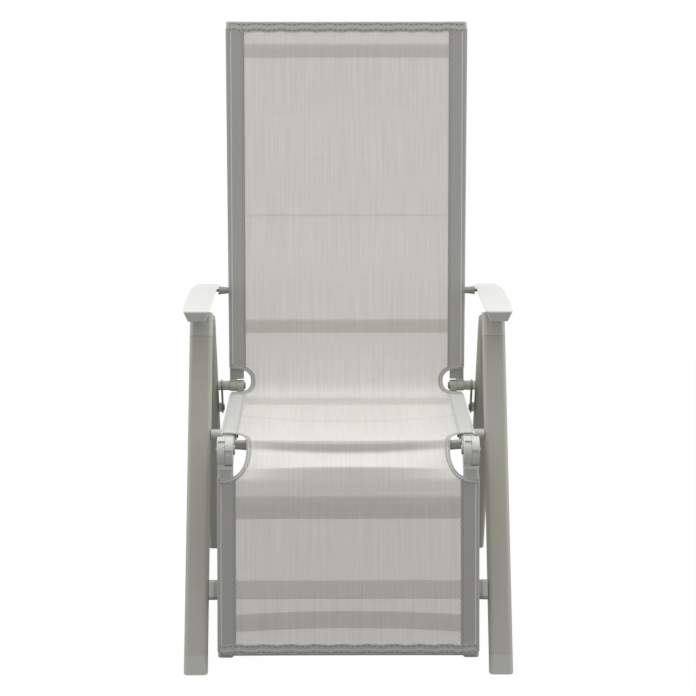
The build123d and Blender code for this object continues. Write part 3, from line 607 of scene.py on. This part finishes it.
@dataclass
class ClothPath:
    """The side view of a stretch of cloth, as points in metres."""

    points: list[Pair] = field(default_factory=list)

    def add(self, run: Run, start: float, end: float, off: Callable[[float], float],
            step: float = 0.004) -> float:
        """Adds a stretch that follows a run.

        Args:
            run: the run that the cloth follows.
            start: where the stretch starts along the run.
            end: where it ends.
            off: how far the cloth lies to the run's left, by the place along the run.
            step: the distance between points.

        Returns:
            The path's length so far.
        """
        count = max(2, int(abs(end - start) / step))
        for i in range(count + 1):
            along = start + (end - start) * i / count
            self.points.append(run.at(along, off(along)))
        return self.lengths()[-1]

    def lengths(self) -> list[float]:
        """Measures how far along the cloth each point lies.

        Returns:
            One length for each point, from 0.
        """
        out = [0.0]
        for a, b in zip(self.points, self.points[1:]):
            out.append(out[-1] + math.dist(a, b))
        return out

    def at_lengths(self, wanted: Sequence[float]) -> list[tuple[Pair, Pair]]:
        """Finds the points of the path at the given lengths.

        Args:
            wanted: rising lengths along the path.

        Returns:
            For each length its point and the direction of the path there.
        """
        marks = self.lengths()
        out, k = [], 0
        for want in wanted:
            while k < len(marks) - 2 and marks[k + 1] < want:
                k += 1
            span = marks[k + 1] - marks[k] or 1.0
            t = (want - marks[k]) / span
            a, b = self.points[k], self.points[k + 1]
            spot = (a[0] + (b[0] - a[0]) * t, a[1] + (b[1] - a[1]) * t)
            ahead = ((b[0] - a[0]) / span, (b[1] - a[1]) / span)
            out.append((spot, ahead))
        return out

    def round_corners(self, step: float, rounds: int) -> None:
        """Spaces the points evenly and rounds the corners by averaging neighbours.

        Args:
            step: the distance between points.
            rounds: how many times to average.
        """
        total = self.lengths()[-1]
        count = int(total / step)
        even = [total * i / count for i in range(count + 1)]
        points = [spot for spot, _ in self.at_lengths(even)]
        for _ in range(rounds):
            middle = [((a[0] + 2 * b[0] + c[0]) / 4, (a[1] + 2 * b[1] + c[1]) / 4)
                      for a, b, c in zip(points, points[1:], points[2:])]
            points = [points[0], *middle, points[-1]]
        self.points = points


@dataclass(frozen=True)
class SoftLight:
    """A square soft light: its name, where it hangs, its power in watts and its side in metres."""

    name: str
    place: Triple
    power: float
    size: float

    def build(self, aim: Triple) -> None:
        """Hangs the light and turns it.

        Args:
            aim: the point that it looks at.
        """
        data = bpy.data.lights.new(self.name, "AREA")
        data.energy, data.size = self.power, self.size
        lamp = bpy.data.objects.new(self.name, data)
        bpy.context.scene.collection.objects.link(lamp)
        lamp.location = self.place
        lamp.rotation_euler = (Vector(aim) - Vector(self.place)).to_track_quat("-Z", "Y").to_euler()


@dataclass
class Studio:
    """Camera, lights, floor and backdrop, in metres."""

    # The camera, fitted to the photograph: it looks down by pitch degrees, turned by yaw radians
    camera: Triple = (-0.023, -3.6717 - SHIFT, 1.3892)
    pitch: float = 13.0991
    yaw: float = 0.0065
    lens: float = 103.55
    sensor: float = 36.0
    clip: Pair = (0.1, 100.0)
    lights: tuple[SoftLight, ...] = (
        SoftLight("top_area", (0.0, 0.35, 3.1), 56.0, 3.0),
        SoftLight("left_area", (-2.3, 0.1, 1.1), 14.0, 1.8),
        SoftLight("right_area", (2.3, 0.1, 1.1), 19.0, 1.8),
    )
    aim: Triple = (0.0, 0.0, 0.5)
    surround_light: float = 0.50
    # The floor: how much of it is plain white near the chair, how bright, and where it fades out
    floor_size: float = 24.0
    floor_drop: float = 0.5 * MM
    floor_white: float = 0.95
    floor_glow: float = 1.036
    floor_fade: Pair = (0.7, 2.4)
    floor_colour: str = "#8e8e8c"
    floor_roughness: float = 0.9

    def build(self) -> None:
        """Makes the whole studio."""
        data = bpy.data.cameras.new("camera")
        data.lens, data.sensor_width = self.lens, self.sensor
        data.clip_start, data.clip_end = self.clip
        camera = bpy.data.objects.new("camera", data)
        bpy.context.scene.collection.objects.link(camera)
        camera.location = self.camera
        camera.rotation_euler = (math.radians(90 - self.pitch), 0.0, -self.yaw)
        bpy.context.scene.camera = camera
        bpy.context.scene.view_settings.view_transform = "Standard"
        self.floor()
        for light in self.lights:
            light.build(self.aim)
        self.world()

    def world(self) -> None:
        """Makes a surround that is plain white where it is seen or mirrored, softer as a light."""
        world = bpy.data.worlds.new("surround")
        world.use_nodes = True
        bpy.context.scene.world = world
        add = partial(add_node, world)
        rays = add(Kind.LIGHT_PATH).outputs
        seen = any_of(add, [rays[f"Is {ray} Ray"] for ray in ("Camera", "Glossy", "Transmission")])
        strength = add(Kind.RANGE, {"Value": seen, "To Min": self.surround_light, "To Max": 1.0})
        feed(world.node_tree.nodes["Background"], {"Color": (1, 1, 1, 1), "Strength": strength})

    def floor(self) -> None:
        """Makes a white floor that keeps the chair's soft shadow and fades into the backdrop."""
        deselect()
        bpy.ops.mesh.primitive_plane_add(size=self.floor_size, location=(0, 0.0, -self.floor_drop))
        plane = settle(bpy.context.object, "floor")
        material, shader, add = blank_material("white_floor")
        path = add(Kind.LIGHT_PATH)
        place = add(Kind.PLACE).outputs["Object"]
        away = add(Kind.VECTOR_MATH, {0: place}, operation="LENGTH")
        share, glow = (add(Kind.RANGE,
                           {"Value": away, "To Min": near, "To Max": 1.0,
                            "From Min": self.floor_fade[0], "From Max": self.floor_fade[1]})
                       for near in (self.floor_white, self.floor_glow))
        white = add(Kind.EMISSION, {"Color": (1, 1, 1, 1), "Strength": glow})
        seen = add(Kind.MATH, {0: share, 1: path.outputs["Is Camera Ray"]}, operation="MULTIPLY")
        blend = add(Kind.MIX_SHADERS, {0: seen, 1: shader, 2: white})
        out = next(n for n in material.node_tree.nodes if n.type == "OUTPUT_MATERIAL")
        feed(out, {"Surface": blend})
        feed(shader, {"Base Color": self.floor_colour, "Roughness": self.floor_roughness})
        plane.data.materials.append(material)


@dataclass(frozen=True)
class CutOut:
    """A D-shaped opening in the cloth's side, round a hinge, in metres along the cloth."""

    start: float
    end: float
    neck: float
    power: float = 2.6

    def up(self, along: float) -> float:
        """How far from the opening's middle a place along the cloth is, where 1 is its end."""
        return abs(along - (self.start + self.end) / 2) / ((self.end - self.start) / 2)

    def edge(self, along: float, outer: float) -> float:
        """Finds the cloth's edge beside the opening.

        Args:
            along: the place along the cloth.
            outer: the cloth's half width.

        Returns:
            The half width that is left there.
        """
        up = self.up(along)
        if up >= 1:
            return outer
        return outer - (outer - self.neck) * (1 - up ** self.power) ** (1 / self.power)

    def rim_mm(self, x: float, along: float, outer: float) -> float:
        """Measures how far a point is from the opening's edge.

        Args:
            x: the point's distance from the chair's middle.
            along: its length along the cloth.
            outer: the cloth's half width.

        Returns:
            The distance in millimetres, which is 0 inside the opening.
        """
        across = abs(outer - abs(x)) / (outer - self.neck)
        turn = (across ** self.power + self.up(along) ** self.power) ** (1 / self.power)
        if turn <= 1:
            return 0.0
        reach = math.hypot(outer - abs(x), along - (self.start + self.end) / 2)
        return reach * (1 - 1 / turn) / MM


@dataclass
class Panel:
    """One length of the mesh cloth, laid on two lines of the side view: on the rails and midway.

    The pairs are places on the rail line and the places on the middle line that belong to them.
    Between the two lines the cloth sags as a parabola, as far out as sag_half.
    """

    name: str
    path: ClothPath
    middle: ClothPath
    pairs: Sequence[Pair]
    cut: CutOut
    half: float
    seams: tuple[float, ...] = ()
    # Rows and columns: where the rows lie close, besides the opening's ends, and how close
    close_rows: Pair = (0.0, 0.0)
    close_reach: float = 0.010
    coarse: float = 0.0034
    fine: float = 0.0009
    columns: int = 86
    crowding: float = 1.35
    sag_half: float = 0.203
    # The end hem's real width, the cloth's thickness and how far a doubled hem stands out
    hem: float = 0.020
    thickness: float = 0.0009
    raised: float = 0.0007
    # The sewn edge is uneven in two waves: their height in millimetres and their length in metres
    ripples: tuple[Pair, ...] = ((0.45, 0.047), (0.25, 0.019))
    rim_limit_mm: float = 60.0

    def stations(self) -> list[float]:
        """Spaces the rows of the cloth, closer at the opening's ends and in the close rows.

        Returns:
            The rows' places along the cloth.
        """
        total = self.path.lengths()[-1]
        out = [0.0]
        while out[-1] < total:
            ends = (abs(out[-1] - place) for place in (self.cut.start, self.cut.end))
            near = min(ends) < self.close_reach
            close = self.close_rows[0] < out[-1] < self.close_rows[1]
            out.append(out[-1] + (self.fine if near or close else self.coarse))
        scale = total / out[-1]
        return [along * scale for along in out]

    def on_middle(self, along: float) -> float:
        """Finds the place on the middle line that belongs to a place on the rail line.

        Args:
            along: the place on the rail line.

        Returns:
            The place on the middle line.
        """
        for (low, mid_low), (high, mid_high) in zip(self.pairs, self.pairs[1:]):
            if along <= high:
                return mid_low + (mid_high - mid_low) * (along - low) / (high - low)
        return self.pairs[-1][1]

    def build(self, material: Material) -> Object:
        """Makes the cloth from a grid that is laid on its two lines.

        Args:
            material: the open cloth's material.

        Returns:
            The finished cloth.
        """
        rows = self.stations()
        line = self.path.at_lengths(rows)
        middle = self.middle.at_lengths([self.on_middle(along) for along in rows])
        deselect()
        bpy.ops.mesh.primitive_grid_add(x_subdivisions=self.columns, y_subdivisions=len(rows) - 1,
                                        size=2.0)
        cloth = bpy.context.object
        layers = cloth_layers(cloth.data)
        flat = []
        for vert in cloth.data.vertices:
            k = round((vert.co.y + 1) / 2 * (len(rows) - 1))
            (spot, ahead), along = line[k], rows[k]
            u = max(-1.0, min(1.0, vert.co.x))
            edge = self.cut.edge(along, self.half)
            x = edge * math.copysign(1 - (1 - abs(u)) ** self.crowding, u)
            marks = self.marks(x, along, rows[-1])
            lift = self.raised * math.copysign(1.0, ahead[0]) if marks[0] < HEM_MM else 0.0
            sunk = max(0.0, 1 - (x / self.sag_half) ** 2)
            y, z = (side + (mid - side) * sunk for side, mid in zip(spot, middle[k][0]))
            vert.co = (x, y - ahead[1] * lift, z + ahead[0] * lift)
            for layer, value in zip(layers, marks):
                layer.data[vert.index].value = value
            flat.append((x, along))
        lay_map(cloth.data, flat)
        thicken(cloth, self.thickness, 0.0)
        bpy.ops.object.shade_smooth()
        cloth.data.materials.append(material)
        LOG.info("%s: %d rows, %.3f m long", self.name, len(rows), rows[-1])
        return settle(cloth, self.name)

    def marks(self, x: float, along: float, total: float) -> Quadruple:
        """Works out what the cloth's material reads at a point.

        Args:
            x: the point's place across the chair.
            along: its length along the cloth.
            total: the cloth's whole length.

        Returns:
            The marks rim, band, seam and pale. The end hem's 20 mm count as HEM_MM in rim.
        """
        ripple = sum(size * math.sin(x * 2 * math.pi / wave) for size, wave in self.ripples)
        end = (total - along) / self.hem * HEM_MM + ripple
        rim = min(self.rim_limit_mm, end, self.cut.rim_mm(x, along, self.half))
        sleeved = along < self.cut.start or along > self.cut.end
        band = (self.half - abs(x)) / MM if sleeved else FAR_MM
        seam = min([abs(along - place) / MM for place in self.seams] + [FAR_MM])
        # pale is 1 on the seat, whose bands take the paler colour of painted light
        return rim, band, seam, 1.0 if along < self.cut.start else 0.0


@dataclass
class Sleeve:
    """A sewn sleeve of doubled cloth round one rail, flat-oval like the rail."""

    name: str
    body: Body
    run: Run
    start: float
    end: float
    side: int
    flare: float = 0.0
    # Its section in metres and how square that is, its wall, its end hems' width and its mesh
    wide: float = 0.0302
    deep: float = 0.0184
    power: float = 0.40
    wall: float = 0.0011
    cuff_mm: float = 5.0
    around: int = 44
    row: float = 0.006
    weld: float = 0.05 * MM
    smooth_degrees: float = 40.0

    def build(self, cloth: Material) -> Object:
        """Makes the sleeve from a grid that is rolled round its rail.

        Args:
            cloth: the doubled cloth's material.

        Returns:
            The finished sleeve.
        """
        rows = int((self.end - self.start) / self.row)
        deselect()
        bpy.ops.mesh.primitive_grid_add(x_subdivisions=self.around, y_subdivisions=rows, size=2.0)
        tube = bpy.context.object
        layers = cloth_layers(tube.data)
        front = -1 if self.run is FOOT else 1
        girth = 2 * (self.wide + self.deep)
        flat = []
        for vert in tube.data.vertices:
            turn = math.pi * (vert.co.x + 1)
            share = (vert.co.y + 1) / 2
            along = self.start + (self.end - self.start) * share
            across, off = self.outline(turn)
            y, z = self.run.at(along, off * front)
            vert.co = Vector((self.side * (RAIL_X + self.flare * share + across), y, z))
            flat.append((turn / (2 * math.pi) * girth, along))
            ends = min(along - self.start, self.end - along)
            # The last mark, pale, is 1 on the seat's sleeves, which take the band's painted light
            marks = (HEM_MM + (ends / MM - self.cuff_mm), 0.0, FAR_MM,
                     1.0 if self.body is Body.FRAME else 0.0)
            for layer, value in zip(layers, marks):
                layer.data[vert.index].value = value
        lay_map(tube.data, flat)
        bpy.ops.object.mode_set(mode="EDIT")
        bpy.ops.mesh.select_all(action="SELECT")
        bpy.ops.mesh.remove_doubles(threshold=self.weld)
        bpy.ops.mesh.normals_make_consistent(inside=False)
        bpy.ops.object.mode_set(mode="OBJECT")
        thicken(tube, self.wall, -1.0)
        bpy.ops.object.shade_smooth_by_angle(angle=math.radians(self.smooth_degrees))
        tube.data.materials.append(cloth)
        settle(tube, self.name)
        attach(tube, self.body.value)
        LOG.info("%s: %.0f mm of sleeve", self.name, (self.end - self.start) / MM)
        return tube

    def outline(self, turn: float) -> Pair:
        """Finds a point of the sleeve's flat-oval section.

        Args:
            turn: the angle round the rail in radians, from its inner side.

        Returns:
            The point's place across the rail and in front of it.
        """
        c, s = math.cos(turn), math.sin(turn)
        across = -math.copysign(abs(c) ** self.power, c) * self.wide / 2
        off = math.copysign(abs(s) ** self.power, s) * self.deep / 2
        return across, off


@dataclass
class Sling:
    """The mesh cloth: two lengths that meet across the seat, their sleeves and the four cut-outs.

    Places on a rail are counted along its run in metres, places on the cloth along it. A rounding
    is a spacing of points and how often they are averaged. The values upper_left and lower_left are
    the shares of the flat cloths that the openings leave.
    """

    half: float = 0.2305
    # Where the sleeves start and end on their rails, and how far the back ones spread on top
    back_sleeve: Pair = (0.0365, 0.7110)
    seat_sleeve: Pair = (0.092, 0.4345)
    foot_sleeve: Pair = (0.0475, 0.3620)
    back_flare: float = 0.003
    # The upper length, on its rails: from the middle of the seat over the bend to the top hem
    meet: float = 0.235
    seat_rear: float = 0.424
    back_low: float = 0.002
    back_top: float = 0.7235
    bend_length: float = 0.021
    seam_up: float = 0.3398
    rear_cut: Pair = (0.002, 0.0505)
    rear_neck: float = 0.1925
    rear_blend: Pair = (0.004, 0.030)
    bend_rounding: tuple[float, int] = (0.002, 34)
    upper_left: float = 0.99
    # The lower length, on its rails: over the front bar, down in a fold and on to the bottom hem
    bar_front: float = 0.0525
    bar_wrap: float = 0.004
    bar_bow: float = 0.0027
    bar_edge: float = 0.002
    fold: float = 0.0219
    fold_front: Pair = (0.003, 0.0035)
    shelf: float = 0.027
    foot_high: float = 0.050
    foot_land: float = 0.088
    foot_end: float = 0.3680
    front_neck: float = 0.1850
    front_cut_short: float = 0.002
    close_before_bar: float = 0.012
    rail_rounding: tuple[float, int] = (0.002, 8)
    fold_rounding: tuple[float, int] = (0.001, 14)
    lower_left: float = 0.96
    slack: float = 0.022
    # How deep the cloth sags between the rails, over which stretch, and how hollow the back is
    seat_sag: float = 0.0105
    seat_sag_over: float = 0.12
    back_sag: float = 0.0021
    back_sag_over: float = 0.05
    hollow: float = 0.004
    hollow_in: Pair = (0.19, 0.34)
    hollow_out: Pair = (0.54, 0.68)

    def build(self) -> None:
        sleeves = self.sleeves(MeshCloth("doubled_mesh_cloth", Weave.SLEEVE).build())
        open_cloth = MeshCloth("open_mesh_cloth", Weave.PANEL).build()
        self.upper(open_cloth, [piece for piece in sleeves if "foot" not in piece.name])
        self.lower(open_cloth, [piece for piece in sleeves if "foot" in piece.name])

    def sleeves(self, cloth: Material) -> list[Object]:
        """Makes the six sleeves.

        Args:
            cloth: the doubled cloth's material.

        Returns:
            The sleeves.
        """
        kinds = (("back", Body.BACK, BACK, self.back_sleeve, self.back_flare),
                 ("seat", Body.FRAME, SEAT, self.seat_sleeve, 0.0),
                 ("foot", Body.FOOT, FOOT, self.foot_sleeve, 0.0))
        return [Sleeve(f"{part}_sleeve_{word}", body, run, *ends, side, flare).build(cloth)
                for side, word in ((-1, "left"), (1, "right"))
                for part, body, run, ends, flare in kinds]

    def upper(self, cloth: Material, sleeves: list[Object]) -> None:
        """Lays the length that covers the rear of the seat and the backrest.

        Args:
            cloth: the open cloth's material.
            sleeves: the backrest's and the seat's sleeves; not used.
        """
        path, middle = ClothPath(), ClothPath()
        bend = self.seat_rear - self.meet

        def seat_off(along: float) -> float:
            """How high the middle of the cloth lies over the seat's rails."""
            before_bend = self.seat_rear - along
            return CLOTH_OFF - self.seat_sag * step_up(before_bend, 0.0, self.seat_sag_over)

        def back_off(along: float) -> float:
            """How far the middle of the cloth lies before the backrest's rails."""
            hollow = (self.hollow * step_up(along, *self.hollow_in)
                      * (1 - step_up(along, *self.hollow_out)))
            return CLOTH_OFF - self.back_sag * step_up(along, 0.0, self.back_sag_over) - hollow

        path.add(SEAT, self.meet, self.seat_rear, lambda along: CLOTH_OFF)
        path.add(BACK, self.back_low, self.back_top, lambda along: CLOTH_OFF)
        middle.add(SEAT, self.meet, self.seat_rear, seat_off)
        middle.add(BACK, self.back_low, self.back_top, back_off)
        for line in (path, middle):
            line.round_corners(*self.bend_rounding)
        length = path.lengths()[-1]
        pairs = ((0.0, 0.0), (length, middle.lengths()[-1]))
        cut = CutOut(bend + self.rear_cut[0], bend + self.rear_cut[1], self.rear_neck)
        seam = bend + self.bend_length + self.seam_up - self.back_low
        piece = Panel("sling_back_and_seat", path, middle, pairs, cut, self.half,
                      (seam,)).build(cloth)
        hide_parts("back_sling", "seat_sling")
        high = BACK.at(self.rear_blend[1], CLOTH_OFF)
        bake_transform(piece)

    def lower(self, cloth: Material, sleeves: list[Object]) -> None:
        """Lays the length that covers the front of the seat, its bar and the footrest.

        Args:
            cloth: the open cloth's material.
            sleeves: the footrest's sleeves; not used.
        """
        path, middle = ClothPath(), ClothPath()
        over_bar = CLOTH_OFF - self.bar_bow

        def seat_off(along: float) -> float:
            """How high the middle of the cloth lies over the seat's rails."""
            sag = self.seat_sag - self.bar_bow
            return over_bar - sag * step_up(along, self.bar_front, self.meet)

        def foot_off(along: float) -> float:
            """How far the middle lies behind the footrest's rails, negative in front of them."""
            return self.back_sag * step_up(along, self.foot_high, self.foot_land) - CLOTH_OFF

        bar = path.add(SEAT, self.meet, self.bar_front, lambda along: CLOTH_OFF)
        path.points.append(SEAT.at(self.bar_front - self.bar_edge, CLOTH_OFF - self.bar_wrap))
        end = path.add(FOOT, self.foot_high, self.foot_end, lambda along: -CLOTH_OFF)
        landing = end - (self.foot_end - self.foot_high)
        bar_middle = middle.add(SEAT, self.meet, self.bar_front, seat_off)
        for front, share in zip(self.fold_front, (0.5, 1.0)):
            middle.points.append(SEAT.at(self.bar_front - front, over_bar - share * self.fold))
        middle.add(FOOT, self.shelf, self.foot_high, foot_off)
        end_middle = middle.add(FOOT, self.foot_high, self.foot_end, foot_off)
        landing_middle = end_middle - (self.foot_end - self.foot_high)
        path.round_corners(*self.rail_rounding)
        middle.round_corners(*self.fold_rounding)
        pairs = ((0.0, 0.0), (bar, bar_middle), (landing, landing_middle),
                 (path.lengths()[-1], middle.lengths()[-1]))
        cut = CutOut(self.meet - self.seat_sleeve[0], landing - self.front_cut_short,
                     self.front_neck)
        piece = Panel("sling_seat_and_footrest", path, middle, pairs, cut, self.half, (),
                      (bar - self.close_before_bar, landing)).build(cloth)
        length = path.lengths()[-1] + self.slack
        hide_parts("footrest_sling")
        low, high = SEAT.at(self.bar_front, CLOTH_OFF), FOOT.at(self.foot_land, -CLOTH_OFF)
        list(low)
        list(high)
        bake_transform(piece)


@dataclass
class CrossbarGrips:
    """Ribbed plastic sleeves on the ends of the front crossbar, beside its collars, in metres."""

    # Where the crossbar lies on the front legs: how far up from the foot, and how far they lean
    along: float = 0.1495
    degrees: float = 62.2
    foot_y: float = -0.2845 - SHIFT
    # From where to where across the chair, the section, the ribs and how round the edges are
    inner: float = 0.2285
    outer: float = 0.2447
    tall: float = 0.0352
    deep: float = 0.0172
    rib: float = 0.0014
    rib_height: float = 0.0007
    ribs: int = 5
    rounding: float = 0.42
    rounding_faces: int = 5
    smooth_degrees: float = 35.0

    def build(self, plastic: Material) -> None:
        """Makes each end's plain sleeve and its ribs and joins them.

        Args:
            plastic: the sleeves' material.
        """
        middle, width = (self.inner + self.outer) / 2, self.outer - self.inner
        pitch = (width - self.rib) / (self.ribs - 1)
        for side, word in ((-1, "left"), (1, "right")):
            blocks = [self.block(side * middle, width, 0.0)]
            for i in range(self.ribs):
                x = self.inner + self.rib / 2 + i * pitch
                blocks.append(self.block(side * x, self.rib, self.rib_height))
            deselect()
            for block in blocks:
                block.select_set(True)
            bpy.context.view_layer.objects.active = blocks[0]
            bpy.ops.object.join()
            grip = settle(bpy.context.object, f"crossbar_grip_{word}")
            bpy.ops.object.shade_smooth_by_angle(angle=math.radians(self.smooth_degrees))
            grip.data.materials.clear()
            grip.data.materials.append(plastic)
            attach(grip, Body.FRAME.value)
            LOG.info("%s: %d ribs", grip.name, self.ribs)

    def block(self, x: float, width: float, grow: float) -> Object:
        """Makes one flat-oval block round the crossbar.

        Args:
            x: its middle across the chair.
            width: its width along the crossbar.
            grow: how far it stands out over the plain sleeve.

        Returns:
            The block, with its place in its mesh.
        """
        y, z = Run(self.foot_y, 0.0, self.degrees).at(self.along)
        deselect()
        bpy.ops.mesh.primitive_cube_add(size=1.0)
        block = bpy.context.object
        size = (width, self.tall + 2 * grow, self.deep + 2 * grow)
        block.data.transform(Matrix.Diagonal((*size, 1.0)))
        round_long_edges(block, 0, self.deep * self.rounding, self.rounding_faces)
        lean = Matrix.Rotation(math.radians(self.degrees), 4, "X")
        block.data.transform(Matrix.Translation((x, y, z)) @ lean)
        return block


@dataclass
class Finishes:
    """The finishes, named by their slots in the record, and the knuckles' own."""

    painted_aluminium: PowderCoat = PowderCoat()
    # Caps, feet and rings: moulded polyamide in nearly the frame's grey-beige, matte
    cap_plastic: MouldedPlastic = MouldedPlastic("greige_polyamide", "#c1c1b9", "#b7b7af")
    # Pegs, racks, spacers and the crossbar's collars: polyamide, lighter than the frame
    grey_plastic: MouldedPlastic = MouldedPlastic("grey_polyamide", "#d0d0ca", "#c6c6c0")
    # The backrest's hinge caps and pins: polyamide, darker than the frame
    dark_plastic: MouldedPlastic = MouldedPlastic("dark_polyamide", "#a4a49f", "#9a9a95")
    # Armrests: moulded polypropylene, nearly white
    armrest_plastic: MouldedPlastic = MouldedPlastic("white_armrest_polypropylene",
                                                     "#dbdbd7", "#d4d4cf")
    steel: ZincedSteel = ZincedSteel()
    # Footrest knuckles: their slot is cap_plastic, but they look nearly white
    knuckles: MouldedPlastic = MouldedPlastic("pale_knuckle_polyamide", "#dedfd9", "#d4d5cf")

    def dress(self) -> dict[str, Material]:
        """Gives every carried-over CAD node its finish.

        Returns:
            The finishes by name.
        """
        made = {name: finish.build() for name, finish in vars(self).items()}
        for entry in frame["record"]["subparts"]:
            name = entry["node"]
            own = "knuckles" if name.endswith("_knuckles") else entry["material_slot"]
            material = made.get(own)
            if material is None:
                continue
            node = frame["nodes"][name]
            node.data.materials.clear()
            node.data.materials.append(material)
            LOG.info("finish of %s: %s", name, material.name)
        return made


def main() -> None:
    """Builds the studio and every piece, in order."""
    logging.basicConfig(level=logging.INFO, format="%(message)s")
    Studio().build()
    finishes = Finishes().dress()
    CrossbarGrips().build(finishes["cap_plastic"])
    Sling().build()


if __name__ == "__main__":
    main()
